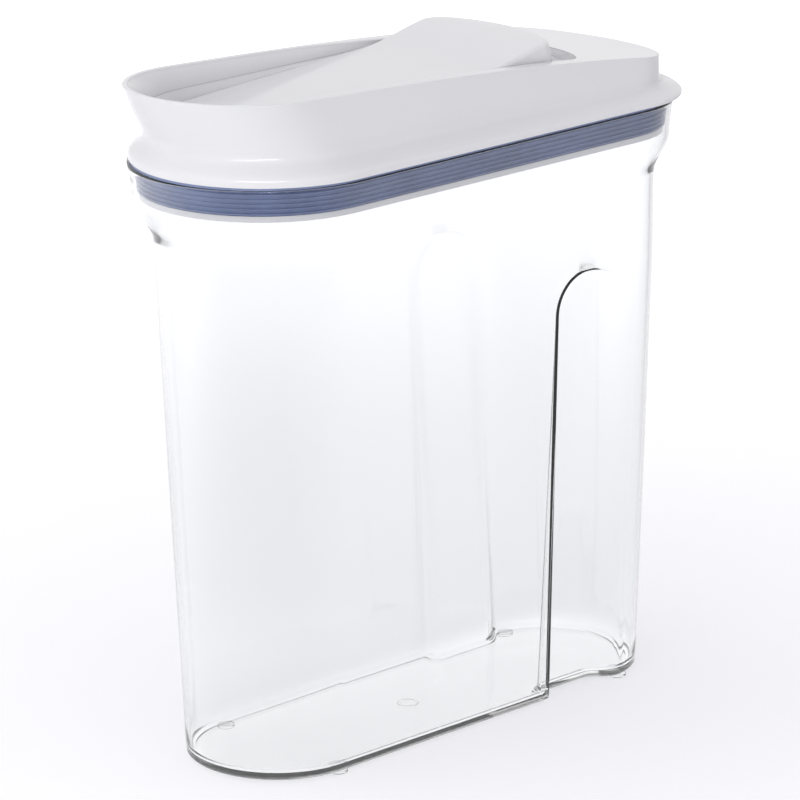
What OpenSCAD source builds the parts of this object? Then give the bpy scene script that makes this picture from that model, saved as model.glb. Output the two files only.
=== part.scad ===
// Cereal container with a flip spout.
// Clear vessel, press-in lid with a ribbed gasket, and a flip cap that closes the spout.
// Millimetres. Z is up, the spout points to -Y, the width runs along X.
// The origin is on the table, below the middle of the whole container.

/* [Vessel] */
// Half of the vessel's width at its base
base_half_w = 38.1; // [36:0.1:42]
// Reach of the base in front of the origin
base_front = 110.1; // [105:0.1:114]
// Reach of the base behind the origin
base_rear = 117.7; // [112:0.1:120]
// Height of the vessel's rim above the table
rim_top = 249.2; // [249.2:0.1:249.2]
// How far each wall leans out between base and rim
wall_lean = 9.45; // [6:0.05:11]
// Height above which the rear wall stands upright
rear_upright_z = 181; // [150:1:210]
// Thickness of the clear wall
wall_t = 2; // [1.6:0.1:2.6]
// Thickness of the vessel's floor
floor_t = 2.6; // [2:0.1:4]
// Depth of a rounded front end, as a share of the half width
front_round = 0.97; // [0.9:0.01:1]
// Depth of a rounded rear end, as a share of the half width
rear_round = 0.86; // [0.8:0.01:1]

/* [Collar] */
// How far the collar stands out beyond the walls at the sides
collar_side = 7.4; // [5:0.1:8]
// How far the collar stands out at the front end
collar_front_out = 8.8; // [7:0.1:9.5]
// How far the collar stands out at the rear end
collar_rear_out = 7.2; // [6:0.1:8]
// Height at which the neck starts to swell
neck_z = 217; // [212:1:220]
// Height at which the collar is nearly upright
collar_z = 234; // [230:1:236]

/* [Grip recesses] */
// Place of the step at the front of each recess
grip_front = 43.5; // [38:0.1:47]
// Place where the recess floor starts to flare out again
grip_rear = 73.8; // [70:0.1:78]
// Half width across the two recess floors at the base
grip_low_half_w = 30.2; // [29:0.1:33]
// Half width across the two recess floors at their top
grip_high_half_w = 42.4; // [41:0.1:43]
// Height of the top of each recess
grip_top = 184; // [170:1:200]
// Radius of the arch at the recess's upper front corner
grip_arch_r = 13.5; // [8:0.5:16]

/* [Feet] */
// Height of the moulded feet
foot_h = 1.2; // [0.8:0.1:2]
// Radius of a moulded foot
foot_r = 3.8; // [3:0.1:4]
// Distance of each foot from the middle plane
foot_x = 34.2; // [30:0.1:34.2]
// Place of the front feet
foot_front = 71.7; // [60:0.1:76]
// Place of the rear feet
foot_rear = 89.6; // [74:0.1:91]
// Radius of the ring that the mould's gate leaves under the floor
gate_r = 4.6; // [3:0.1:6]
// Place of the gate
gate_y = -1; // [-5:0.1:5]

/* [Lid shell] */
// Height of the lid's lower edge
lid_z = 250.1; // [250.1:0.1:250.3]
// Half width of the lid's skirt
skirt_half_w = 55.2; // [55:0.1:56]
// Reach of the skirt in front of the origin
skirt_front = 127.4; // [127.2:0.1:128.4]
// Reach of the skirt behind the origin
skirt_rear = 134.8; // [133:0.1:135.5]
// Depth of the skirt's rounded rear end, as a share of its half width
skirt_rear_round = 0.78; // [0.74:0.01:0.86]
// Half width of the waist above the skirt
waist_half_w = 46.6; // [45:0.1:48]
// Half width across the upper edge
top_half_w = 43; // [42:0.1:44]
// Reach of the pouring lip in front of the origin
lip_front = 134.9; // [132:0.1:135.5]
// Reach of the deck behind the origin
deck_rear = 127.1; // [125:0.1:128]
// Height of the upper edge above the origin's plane at mid length
edge_mid_z = 276.9; // [275:0.1:279]
// Fall of the upper edge for each 100 mm towards the rear
edge_fall = 6.67; // [5:0.01:8]
// Extra fall of the upper edge, growing with the square of the length
edge_droop = 2.21; // [1:0.01:3]
// Extra fall, growing with the cube of the length
edge_curl = 0.75; // [0:0.01:1.5]
// Wall thickness of the lid's mouldings
lid_t = 2; // [1.8:0.1:2.4]

/* [Spout trough] */
// Half width of the trough at its upper edge
trough_top_half_w = 40.6; // [40:0.1:41]
// Half width of the ledge inside the trough
ledge_half_w = 37.6; // [37.4:0.1:38]
// Height of the ledge
ledge_z = 272.5; // [272:0.1:273]
// Half width of the trough around the flip cap
trough_half_w = 36; // [36:0.1:36.4]
// Reach of the trough in front of the origin
trough_front = 121; // [120:0.1:121.2]
// Reach of the crescent well behind the flip cap
well_rear = 77.3; // [76.5:0.1:79]
// Depth of the crescent well below the deck
well_depth = 3.4; // [3:0.1:4]

/* [Lid frame and rim gasket] */
// Height of the plug's lower edge
plug_z = 235.9; // [235:0.1:237]
// Height of the trough's floor
floor_z = 257.7; // [257:0.1:258]
// Half width of the pour opening
pour_half_w = 28.4; // [26:0.1:29]
// Reach of the pour opening in front of the origin
pour_front = 112.8; // [108:0.1:114]
// Place of the pour opening's rear end
pour_rear = -14.8; // [-26:0.1:-12]
// Number of sealing ribs
rib_count = 5; // [3:1:6]
// Clearance between the rib tips and the collar
rib_gap = 0.3; // [0.2:0.05:0.5]

/* [Flip cap] */
// Height of the cap's front edge
cap_low_z = 265.9; // [265:0.1:267]
// Rise of the ramp for each millimetre towards the rear
cap_slope = 0.0595; // [0.05:0.0005:0.065]
// Extra height of the hump
hump_h = 4.9; // [3:0.1:5]
// Place where the hump starts to rise
hump_start = 11.8; // [4:0.1:17]
// Place where the hump is at its full height
hump_full = 52.2; // [47:0.1:53]
// Half width of the cap between its upper edges
cap_half_w = 34.6; // [34:0.1:34.8]
// Reach of the hump's top behind the origin
hump_rear = 61.3; // [60:0.1:61.7]
// Depth of the hump's rounded rear edge
hump_round = 14; // [12:0.5:16]
// Radius of the hump's upper edges
crown_r = 1.6; // [1:0.1:2]
// Radius of the upper edges at the front, where the ramp lies low in the trough
crown_front_r = 0.8; // [0.5:0.1:1.6]

/* [Hinge] */
// Distance of the hinge axis behind the origin
hinge_y = 55.8; // [55.2:0.1:56.2]
// Height of the hinge axis
hinge_z = 270.1; // [270:0.1:270.3]
// Radius of the hinge pin
pin_r = 1.5; // [1.2:0.1:1.6]
// Length of the hinge pin
pin_l = 32; // [30:1:36]
// Radial clearance of the hinge pin in its bores
pin_gap = 0.05; // [0.03:0.01:0.08]

/* [Hidden] */

$fn = 48;
// Facets along a quarter of an end curve
end_n = 11;
// Facets along a straight side
side_n = 18;
// Height between base and rim over which the walls lean
lean_h = rim_top - foot_h;

// Waist of the lid
waist_front = skirt_front - 4.6;
waist_rear = skirt_rear - 8.8;

// Ring of the mould's gate, which stands less proud than the feet
gate_h = 0.5;
gate_w = 1;

// Flip cap
cap_bottom_z = floor_z + 0.9;
cap_rear_bottom_z = 265.1;
cap_front_gap = 1;

// Liner plate under the cap, and its sealing plug
liner_z = 259;
liner_t = 1.9;
liner_bottom_z = 254.5;
seal_w = 0.9;

// Hinge
boss_r = 3.6;
ear_in = 8;
ear_out = 11.4;
knuckle_in = 12;
knuckle_out = 15.4;

// A smooth step from 0 at a to 1 at b
function ease(a, b, t) = let (u = max(0, min(1, (t - a) / (b - a)))) u * u * (3 - 2 * u);
function mix(a, b, t) = a + (b - a) * t;

// Half of a plan outline, from its front point along +X to its rear point.
// The ends are quarter ellipses whose depths are given.
function half_plan(w, front, rear, front_d, rear_d, sides = side_n) = concat(
  [for (i = [0:end_n - 1]) let (a = 90 * i / end_n) [w * sin(a), front_d * (1 - cos(a)) - front]],
  [for (i = [0:sides - 1]) [w, mix(front_d - front, rear - rear_d, i / sides)]],
  [for (i = [0:end_n]) let (a = 90 * i / end_n) [w * cos(a), rear - rear_d * (1 - sin(a))]]
);

// A half outline at one height
function level(half, z) = [for (p = half) [p.x, p.y, z]];

// A whole ring of points from the half with x >= 0
function whole(half) = concat(half, [for (i = [len(half) - 2:-1:1]) [-half[i].x, half[i].y, half[i].z]]);

// A solid lofted through half rings. An open loft is closed across its first and last rings,
// which face down and up, and a closed one joins its last ring to its first.
module loft(halves, closed = false) {
  m = len(halves[0]);
  n = 2 * m - 2;
  count = len(halves);
  points = [for (h = halves) each whole(h)];
  walls = [for (k = [0:count - (closed ? 1 : 2)]) for (i = [0:n - 1])
    let (a = k * n + i, b = k * n + (i + 1) % n,
         d = (k + 1) % count * n + i, c = (k + 1) % count * n + (i + 1) % n)
    each [[a, d, c], [a, c, b]]];
  floor_faces = [for (i = [0:m - 2]) each across(i, m, n, 0)];
  roof = [for (i = [0:m - 2]) for (f = across(i, m, n, (count - 1) * n)) [f[2], f[1], f[0]]];
  polyhedron(points, closed ? walls : concat(walls, floor_faces, roof), convexity = 8);
}

// The two triangles that cross a ring between its points i and i + 1 and their mirror images
function across(i, m, n, base) =
  let (a = base + i, b = base + i + 1, c = base + (n - i - 1) % n, d = base + (n - i) % n)
  i == 0 ? [[a, b, c]] : i == m - 2 ? [[a, b, d]] : [[a, b, c], [a, c, d]];

// Share of the collar's swelling at a height
function collar_share(z) =
  0.82 * ease(neck_z, collar_z, z) + 0.06 * ease(collar_z, 243, z) + 0.12 * ease(241, rim_top, z);

// Depth share of the grip recess at a height, 1 below the arch and 0 above its top
function grip_share(z) = 1 - ease(grip_top - 7, grip_top, z);

// Half outline of the vessel at a height, set in from the outer surface.
// The recess's points stay in the list above the recess, on the plain wall.
function vessel_half(z, inset) =
  let (
    t = (z - foot_h) / lean_h,
    s = collar_share(z),
    w0 = base_half_w + wall_lean * t + collar_side * s,
    w = w0 - inset,
    front = base_front + wall_lean * t + collar_front_out * s - inset,
    rear = base_rear + wall_lean * (min(z, rear_upright_z) - foot_h) / lean_h + collar_rear_out * s - inset,
    front_d = front_round * w,
    rear_d = rear_round * w,
    grip_w = mix(grip_low_half_w, grip_high_half_w, min(1, (z - foot_h) / (grip_top - foot_h))) - inset,
    share = grip_share(z),
    arch = max(0, min(grip_arch_r, z - grip_top + grip_arch_r)),
    step_y = grip_front + grip_arch_r - sqrt(max(0, grip_arch_r * grip_arch_r - arch * arch)) - inset,
    deep = mix(w, min(w, grip_w), share),
    flare_y = grip_rear + 0.41 * inset,
    end_y = rear - rear_d,
    step_n = 3
  )
  concat(
    [for (i = [0:end_n - 1]) let (a = 90 * i / end_n) [w * sin(a), front_d * (1 - cos(a)) - front]],
    [for (i = [0:step_n - 1]) [w, mix(front_d - front, step_y - 0.9, i / step_n)]],
    [[w, step_y - 0.9], [mix(w, deep, 0.15), step_y - 0.1], [deep, step_y + 0.3]],
    [for (i = [1:4]) [deep, mix(step_y + 0.3, flare_y, i / 4)]],
    [[mix(deep, w, 0.5), flare_y + 0.5 * (end_y + 1.6 - flare_y)]],
    [for (i = [0:end_n]) let (a = 4 + 86 * i / end_n) [w * cos(a), rear - rear_d * (1 - sin(a))]]
  );

module container_body() {
  outer = concat(
    [[foot_h, 1.7], [foot_h + 0.7, 0.5], [foot_h + 2.2, 0]],
    [for (z = [20, 90, 155, 170.5, 174, 177, 179.5, 182, grip_top]) [z, 0]],
    [for (z = [200, neck_z, 220, 223, 226, 229, 231.5, collar_z, 239, 243, 246.5]) [z, 0]],
    [[rim_top - 0.5, 0], [rim_top, 0.5]]
  );
  inner = concat(
    [[rim_top, wall_t - 0.5], [rim_top - 0.5, wall_t]],
    [for (z = [243, 239, collar_z + 1, 231.5, 228, 224, 221, neck_z + 1]) [z, wall_t]],
    [for (z = [200, grip_top, 181, 177, 173, 155, 90, 20]) [z, wall_t]],
    [[foot_h + floor_t + 3, wall_t], [foot_h + floor_t + 0.8, wall_t + 0.9], [foot_h + floor_t, wall_t + 3]]
  );
  color([0.93, 0.95, 0.96, 0.3]) union() {
    loft([for (r = concat(outer, inner)) level(vessel_half(r[0], r[1]), r[0])]);
    for (side = [-1, 1], y = [-foot_front, foot_rear])
      translate([side * foot_x, y, 0]) cylinder(r = foot_r, h = foot_h + 1.2);
    translate([0, gate_y, foot_h - gate_h]) rotate_extrude() translate([gate_r - gate_w, 0]) square([gate_w, 1]);
  }
}

// Height of the lid's upper edge and deck
function edge_z(y) = let (u = y / 100) edge_mid_z - edge_fall * u - edge_droop * u * u - edge_curl * u * u * u;

// Outer profile of the lid, from 0 at the skirt's lower edge to 1 at the upper edge:
// height share, share of the way in to the waist, share of the way out to the upper edge
lid_profile = [
  [0, 0.03, 0], [0.02, 0, 0], [0.07, 0, 0], [0.11, 0.08, 0], [0.15, 0.27, 0], [0.2, 0.56, 0],
  [0.25, 0.8, 0], [0.31, 0.94, 0], [0.39, 1, 0.02], [0.5, 1, 0.2], [0.62, 1, 0.42],
  [0.74, 1, 0.62], [0.86, 1, 0.8], [0.95, 1, 0.93], [0.985, 1, 0.98]
];

// Half outline of the lid's outer surface for one row of the profile, set in by a wall
// and by a further distance at its rear end
function lid_half(row, inset, rear_in = 0) =
  let (
    w = mix(mix(skirt_half_w, waist_half_w, row[1]), top_half_w, row[2]) - inset,
    front = mix(mix(skirt_front, waist_front, row[1]), lip_front, row[2]) - inset,
    rear = mix(mix(skirt_rear, waist_rear, row[1]), deck_rear, row[2]) - inset - rear_in,
    front_d = mix(front_round, 1.09, row[2]) * w,
    rear_d = mix(skirt_rear_round, 0.76, row[2]) * w
  )
  half_plan(w, front, rear, front_d, rear_d);

// Height of a point of the lid's wall
function lid_z_at(share, y) = mix(lid_z, edge_z(y), share);

// Half width of the trough's upper edge, which draws in beside the well
function trough_edge_w(y) = mix(trough_top_half_w, trough_half_w + 0.3, ease(-37, 53, y));

// Half outline of the trough at its upper edge
function trough_edge(inset) =
  [for (p = half_plan(trough_half_w + 0.3, lip_front - 2.2, well_rear, 42, 17.4))
    [p.x * (trough_edge_w(p.y) - inset) / (trough_half_w + 0.3), p.y + (p.y < -57 ? inset : 0)]];

// Height of the ledge, which falls to the floor of the well at the rear
function ledge_at(y) = mix(ledge_z, edge_z(well_rear) - well_depth, ease(13, 59, y));

function ledge_half(w, front, rear, rear_d) = half_plan(w, front, rear, w, rear_d);

// Height of the cap's upper surface
function cap_z(y) =
  cap_low_z + cap_slope * (min(y, hump_full) + trough_front) + hump_h * ease(hump_start, hump_full, y);

module lid_shell() {
  outer = [for (r = lid_profile) [for (p = lid_half(r, 0)) [p.x, p.y, lid_z_at(r[0], p.y)]]];
  lip_row = [1, 1, 1];
  lip = [for (p = lid_half(lip_row, 0.5)) [p.x, p.y, edge_z(p.y)]];
  edge = [for (p = trough_edge(0)) [p.x, p.y, edge_z(p.y)]];
  edge_low = [for (p = trough_edge(0.3)) [p.x, p.y, edge_z(p.y) - 0.5]];
  ledge = [for (p = ledge_half(ledge_half_w, trough_front + 2.4, well_rear - 0.8, 16.8))
    [p.x, p.y, ledge_at(p.y)]];
  // The wall leans in from the edge and stands upright where it meets the ledge
  wall = [for (t = [0.3, 0.65]) [for (i = [0:len(ledge) - 1])
    let (p = mix(edge_low[i], ledge[i], 1 - (1 - t) * (1 - t)))
    [p.x, p.y, mix(edge_low[i].z, ledge[i].z, t)]]];
  seat = [for (p = half_plan(trough_half_w, trough_front, well_rear - 6, trough_half_w, 14))
    [p.x, p.y, p.y > 13 ? ledge_at(p.y) : min(ledge_z - 1, cap_z(p.y) + 0.3)]];
  foot_in = [for (p = seat) [p.x, p.y, floor_z]];
  foot_out = level(
    half_plan(trough_half_w + lid_t, trough_front + 1, well_rear - 6 + lid_t, trough_half_w + 1, 15), floor_z);
  // The hollow under the deck fades out towards the lip, where the wall is solid
  roof_in = [for (p = foot_out)
    [p.x, p.y, mix(floor_z + 0.5, min(ledge_at(p.y) - 1, edge_z(p.y)) - lid_t, hollow(p.y))]];
  front_rest = lid_half([0.2, 0.55, 0], lid_t);
  hollow_rows = [[0.86, 1, 0.8, 0], [0.62, 1, 0.42, 0], [0.38, 1, 0, 0.5], [0.2, 0.6, 0, 3]];
  inner = [for (k = [0:3]) let (r = hollow_rows[k], half = lid_half(r, lid_t + 0.2, r[3]))
    [for (i = [0:len(half) - 1]) let (s = hollow(half[i].y), p = mix(front_rest[i], half[i], s))
      [p.x, p.y, mix(floor_z + 0.5 - 0.6 * k,
        k == 0 ? edge_z(p.y) - lid_t - 1.4 : lid_z_at(r[0], p.y), s)]]];
  low_in = [for (p = lid_half([0.07, 0.06, 0], lid_t, 5)) [p.x, p.y, lid_z_at(0.07, p.y)]];
  bottom_in = level(lid_half([0, 0, 0], lid_t, 5), lid_z);
  color([0.93, 0.93, 0.95])
    loft(concat(outer, [lip, edge, edge_low], wall, [ledge, seat, foot_in, foot_out, roof_in],
      inner, [low_in, bottom_in]), closed = true);
}

// Share of the hollow's full height
function hollow(y) = ease(-101, -83, y);

// Half outline of the collar's bore at a height, set in from it
function bore_half(z, inset) =
  let (h = vessel_half(z, wall_t + inset))
  half_plan(h[end_n].x, -h[0].y, h[len(h) - 1].y, front_round * h[end_n].x, rear_round * h[end_n].x, 2);

// Half outline of the plug that goes down inside the collar
function plug_half(inset) = bore_half(plug_z, inset);

// A plate or a wall with vertical sides from a half outline
module slab(half, z, h) {
  translate([0, 0, z]) linear_extrude(h)
    polygon(concat(half, [for (i = [len(half) - 2:-1:1]) [-half[i].x, half[i].y]]));
}

// Half outline of the trough's floor plate
function floor_half(grow) =
  half_plan(trough_half_w + grow, trough_front + min(grow, 0.3), well_rear - 6 + grow, trough_half_w + grow, 14);

// Half outline of the pour opening
function pour_half(inset) =
  half_plan(pour_half_w - inset, pour_front - inset, pour_rear - inset,
    0.95 * pour_half_w - inset, 0.7 * pour_half_w - inset);

module hinge_ear() {
  difference() {
    rotate([90, 0, 90]) linear_extrude(ear_out - ear_in) {
      translate([hinge_y, hinge_z]) circle(r = boss_r);
      polygon([
        [hinge_y - 1.4, hinge_z + 3.3], [hinge_y - 11, hinge_z - 2], [hinge_y - 14, floor_z - 1],
        [hinge_y - 8, floor_z - 1], [hinge_y - 7.4, hinge_z - 4.6], [hinge_y - 0.8, hinge_z - 3.5]
      ]);
    }
    translate([-1, hinge_y, hinge_z]) rotate([0, 90, 0]) cylinder(r = pin_r + pin_gap, h = 10);
  }
}

module lid_frame() {
  web_z = lid_z;
  color([0.9, 0.9, 0.92]) {
    difference() {
      union() {
        slab(plug_half(3.2), plug_z, web_z - plug_z + lid_t);
        slab(plug_half(0.5), plug_z, 2.4);
        slab(lid_half([0, 0, 0], lid_t + 1, 7.6), web_z, lid_t - 0.2);
        slab(floor_half(lid_t), web_z, floor_z - web_z);
      }
      slab(plug_half(5.2), plug_z - 1, web_z - plug_z + 1);
      slab(floor_half(0), web_z - 1, floor_z - web_z + 1 - lid_t);
      slab(pour_half(0), web_z, 20);
    }
    translate([ear_in, 0, 0]) hinge_ear();
    translate([-ear_out, 0, 0]) hinge_ear();
  }
}

module rim_gasket() {
  bottom = plug_z + 2.5;
  top = rim_top - 0.8;
  pitch = (top - bottom) / rib_count;
  ribs = [for (k = [0:rib_count - 1]) each
    [[bottom + pitch * k, 1.3], [bottom + pitch * (k + 0.3), rib_gap],
     [bottom + pitch * (k + 0.55), rib_gap], [bottom + pitch * (k + 0.85), 1.3]]];
  outer = [for (r = ribs) level(bore_half(r[0], r[1]), r[0])];
  flange_half = bore_half(rim_top, 0.9 - wall_t);
  groove = plug_half(3);
  color([0.36, 0.42, 0.54])
    loft(concat(outer, [
      level(bore_half(rim_top, 1.3), rim_top),
      level(flange_half, rim_top),
      level(flange_half, lid_z),
      level(groove, lid_z),
      level(groove, bottom)
    ]), closed = true);
}

// Half outline of the cap, from its crown to its lower wall
function cap_half(out, inset) =
  half_plan(cap_half_w + 0.8 * out - inset, trough_front - cap_front_gap - 0.8 + 0.8 * out - inset,
    hump_rear + 3.5 * out - inset, cap_half_w + 0.8 * out - inset, hump_round);

// Radius of the cap's upper edges along its length
function crown_at(y) = mix(crown_front_r, crown_r, ease(-30, 40, y));

// Height of the cap's lower edge, which rises behind the hinge so that the tail can swing
function cap_low(y) = mix(cap_bottom_z, cap_rear_bottom_z, ease(33, 49, y));

module flip_cap() {
  skin = 2;
  ceiling = [for (p = cap_half(0.2, skin + 0.6)) [p.x, p.y, cap_z(p.y) - skin]];
  inner_low = [for (p = cap_half(1, skin)) [p.x, p.y, cap_low(p.y)]];
  outer_low = [for (p = cap_half(1, 0)) [p.x, p.y, cap_low(p.y)]];
  outer_mid = [for (p = cap_half(0.8, 0)) [p.x, p.y, mix(cap_low(p.y), cap_z(p.y), 0.35)]];
  crest = cap_half(0.08, 0);
  crest_in = cap_half(0.08, crown_r);
  shoulder = [for (k = [0:3]) [for (i = [0:len(crest) - 1])
    let (r = crown_at(crest[i].y), p = mix(crest[i], crest_in[i], (1 - cos(30 * k)) * r / crown_r))
    [p.x, p.y, cap_z(p.y) - r * (1 - sin(30 * k))]]];
  color([0.93, 0.93, 0.95]) loft(concat([ceiling, inner_low, outer_low, outer_mid], shoulder));
}

module knuckle() {
  difference() {
    rotate([90, 0, 90]) linear_extrude(knuckle_out - knuckle_in) {
      translate([hinge_y, hinge_z]) circle(r = boss_r);
      polygon([
        [hinge_y - 0.6, hinge_z + 3.5], [23, liner_z + 4], [23, liner_z],
        [41, liner_z], [hinge_y + 0.4, hinge_z - 3.5]
      ]);
    }
    translate([-1, hinge_y, hinge_z]) rotate([0, 90, 0]) cylinder(r = pin_r + pin_gap, h = 10);
  }
}

module cap_liner() {
  liner_rear = 41;
  inner = 2.9;
  plug_wall = 1.8;
  color([0.88, 0.88, 0.9]) {
    difference() {
      slab(half_plan(cap_half_w - inner + 0.6, trough_front - cap_front_gap - inner, liner_rear,
        cap_half_w - inner, 3), liner_z, liner_t);
      translate([-knuckle_in + 0.2, hinge_y - 20, liner_z - 1]) cube([2 * knuckle_in - 0.4, 40, 10]);
    }
    difference() {
      slab(pour_half(seal_w + 0.6), liner_bottom_z, liner_z - liner_bottom_z);
      slab(pour_half(seal_w + 0.6 + plug_wall), liner_bottom_z - 1, liner_z);
    }
    translate([knuckle_in, 0, 0]) knuckle();
    translate([-knuckle_out, 0, 0]) knuckle();
  }
}

module spout_gasket() {
  flange_out = -3.6;
  color([0.36, 0.42, 0.54]) difference() {
    union() {
      slab(pour_half(0.6), liner_bottom_z + 1, liner_z - liner_bottom_z - 1);
      slab(pour_half(flange_out), floor_z + 0.1, liner_z - floor_z - 0.1);
    }
    slab(pour_half(seal_w + 0.6), liner_bottom_z, liner_z);
  }
}

module hinge_pin() {
  color("silver") translate([-pin_l / 2, hinge_y, hinge_z]) rotate([0, 90, 0]) cylinder(r = pin_r, h = pin_l);
}

container_body();
lid_shell();
lid_frame();
rim_gasket();
flip_cap();
cap_liner();
spout_gasket();
hinge_pin();
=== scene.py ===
"""Cereal container with a flip spout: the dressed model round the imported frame.

Metres, in the frame's own axes: Z up, the spout points to -Y, the width runs along X.
"""

import math

import bmesh
import bpy
import numpy as np
from mathutils import Matrix, Vector


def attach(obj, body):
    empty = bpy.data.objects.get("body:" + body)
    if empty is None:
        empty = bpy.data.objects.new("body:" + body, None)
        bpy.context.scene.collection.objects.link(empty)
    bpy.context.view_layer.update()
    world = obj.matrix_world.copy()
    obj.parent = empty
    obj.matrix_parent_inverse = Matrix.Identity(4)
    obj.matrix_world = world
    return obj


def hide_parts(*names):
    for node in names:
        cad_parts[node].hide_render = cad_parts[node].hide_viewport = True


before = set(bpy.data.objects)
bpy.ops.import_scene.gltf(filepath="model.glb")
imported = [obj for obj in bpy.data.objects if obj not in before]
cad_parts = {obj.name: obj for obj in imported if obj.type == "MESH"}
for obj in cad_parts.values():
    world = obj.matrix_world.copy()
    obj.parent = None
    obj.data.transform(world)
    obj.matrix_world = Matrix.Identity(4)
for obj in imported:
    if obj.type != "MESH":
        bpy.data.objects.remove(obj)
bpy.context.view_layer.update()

bl_info = {
    "name": "Cereal container with a flip spout",
    "version": (1, 0, 0),
    "blender": (4, 5, 0),
    "location": "View3D > Sidebar > Container",
    "description": "Builds a clear container with a gasketed lid and a flip cap over its spout",
    "category": "Object",
}

MM = 0.001

# Points along a quarter of an end curve and along a straight side
END_POINTS = 36
SIDE_POINTS = 40


# Sizes and colours


def length(name, text, default):
    """A length that a user may change, given in millimetres."""
    return bpy.props.FloatProperty(
        name=name, description=text, default=default * MM,
        min=0.0, max=1.0, unit="LENGTH", precision=5,
    )


def angle(name, text, default):
    """An angle that a user may change, given in degrees."""
    return bpy.props.FloatProperty(
        name=name, description=text, default=math.radians(default),
        min=0.0, max=math.pi / 2, subtype="ANGLE",
    )


def share(name, text, default):
    """A share of a whole, or of another size."""
    return bpy.props.FloatProperty(
        name=name, description=text, default=default, min=0.0, max=2.0, subtype="FACTOR"
    )


def light(name, text, default):
    """The power of a lamp, or the level of a light."""
    return bpy.props.FloatProperty(name=name, description=text, default=default, min=0.0)


def colour(name, text, default):
    return bpy.props.FloatVectorProperty(
        name=name, description=text, default=default,
        size=3, min=0.0, max=1.0, subtype="COLOR",
    )


class VesselSettings(bpy.types.PropertyGroup):
    """Sizes and finish of the clear vessel."""

    base_half_width: length("Base half width", "Half of the width at the base", 38.1)
    base_front: length("Base front", "Reach of the base in front of the origin", 110.1)
    base_rear: length("Base rear", "Reach of the base behind the origin", 117.7)
    rim_top: length("Rim height", "Height of the rim above the table", 249.2)
    wall_lean: length("Wall lean", "How far each wall leans out up to the rim", 9.45)
    rear_upright: length("Rear upright height", "Height above which the rear wall is upright", 181)
    wall: length("Wall", "Thickness of the clear wall", 1.7)
    floor: length("Floor", "Thickness of the floor", 2.6)
    collar_side: length("Collar sides", "How far the collar stands out at the sides", 7.4)
    collar_front: length("Collar front", "How far the collar stands out at the front", 8.8)
    collar_rear: length("Collar rear", "How far the collar stands out at the rear", 7.2)
    neck: length("Neck height", "Height at which the neck starts to swell", 217)
    collar: length("Collar height", "Height at which the collar is nearly upright", 234)
    grip_front: length("Grip step", "Place of the step at the front of each recess", 45.2)
    grip_rear: length("Grip flare", "Place where the recess starts to flare out", 73.8)
    grip_rear_top: length("Grip flare above", "The same place at the top of the recess", 60.0)
    grip_low: length("Grip width below", "Half width across the recess floors at the base", 30.2)
    grip_high: length("Grip width above", "Half width across the recess floors at the top", 43.5)
    grip_top: length("Grip top", "Height of the top of each recess", 184.6)
    grip_arch: length("Grip arch", "Radius of the arch over the front of each recess", 16.0)
    grip_droop: length("Grip droop", "Radius of the arch's fall towards the rear", 23.0)
    grip_edge: length("Grip edge", "Radius of the outer edge of the step", 0.6)
    grip_root: length("Grip root", "Radius at the foot of the step", 3.0)
    grip_draft: angle("Grip draft", "Steepest slope of the step", 86.0)
    foot_height: length("Foot height", "Height of the moulded feet", 1.2)
    foot_radius: length("Foot radius", "Radius of a moulded foot", 3.8)
    foot_side: length("Foot side", "Distance of each foot from the middle plane", 34.2)
    foot_front: length("Front feet", "Place of the front feet", 71.7)
    foot_rear: length("Rear feet", "Place of the rear feet", 89.6)
    gate_radius: length("Gate mark", "Radius of the round mark below the floor", 4.1)
    front_round: share("Front rounding", "Depth of a rounded front end over the half width", 0.97)
    rear_round: share("Rear rounding", "Depth of a rounded rear end over the half width", 0.86)
    satin_top: length("Satin height", "Height of the satin band along the lower edge", 4.0)
    satin_gloss: share("Satin roughness", "Roughness of the satin band", 0.04)
    satin_clear: share("Satin share", "Share of light that passes straight through the satin band", 0.5)
    tint: colour("Clear tint", "Colour of the clear plastic", (0.985, 0.99, 0.99))
    shadow_tint: colour("Shadow tint", "Light that passes each surface into the shadow", (0.90, 0.90, 0.905))


class LidSettings(bpy.types.PropertyGroup):
    """Sizes and finish of the lid's shell."""

    lower_edge: length("Lower edge", "Height of the lid's lower edge", 250.1)
    skirt_half_width: length("Skirt half width", "Half width of the skirt", 55.15)
    skirt_front: length("Skirt front", "Reach of the skirt in front of the origin", 127.4)
    skirt_rear: length("Skirt rear", "Reach of the skirt behind the origin", 134.75)
    waist_half_width: length("Waist half width", "Half width of the waist", 46.6)
    top_half_width: length("Top half width", "Half width across the upper edge", 43.0)
    lip_front: length("Lip front", "Reach of the pouring lip in front of the origin", 134.6)
    deck_rear: length("Deck rear", "Reach of the deck behind the origin", 127.1)
    skirt_rear_round: share("Skirt rounding", "Depth of the skirt's rear end over its half width", 0.78)
    wall: length("Wall", "Thickness of the mouldings", 2.0)
    trough_top: length("Trough top", "Half width of the trough at its upper edge", 40.6)
    ledge_half_width: length("Ledge half width", "Half width of the ledge in the trough", 37.6)
    ledge: length("Ledge height", "Height of the ledge", 272.5)
    trough_half_width: length("Trough half width", "Half width of the trough round the cap", 36.0)
    trough_front: length("Trough front", "Reach of the trough in front of the origin", 121.0)
    well_rear: length("Well rear", "Reach of the crescent well behind the cap", 77.3)
    well_depth: length("Well depth", "Depth of the crescent well below the deck", 3.4)
    floor: length("Trough floor", "Height of the trough's floor", 257.7)
    shade: colour("White", "Colour of the white plastic", (0.82, 0.82, 0.83))


class GasketSettings(bpy.types.PropertyGroup):
    """Sizes and finish of the rim gasket."""

    plug: length("Plug height", "Height of the plug's lower edge", 235.9)
    ribs: bpy.props.IntProperty(name="Ribs", description="Number of sealing ribs", default=5, min=1, max=9)
    gap: length("Gap", "Clearance between the rib tips and the collar", 0.3)
    shade: colour("Blue grey", "Colour of the silicone", (0.215, 0.265, 0.43))


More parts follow.
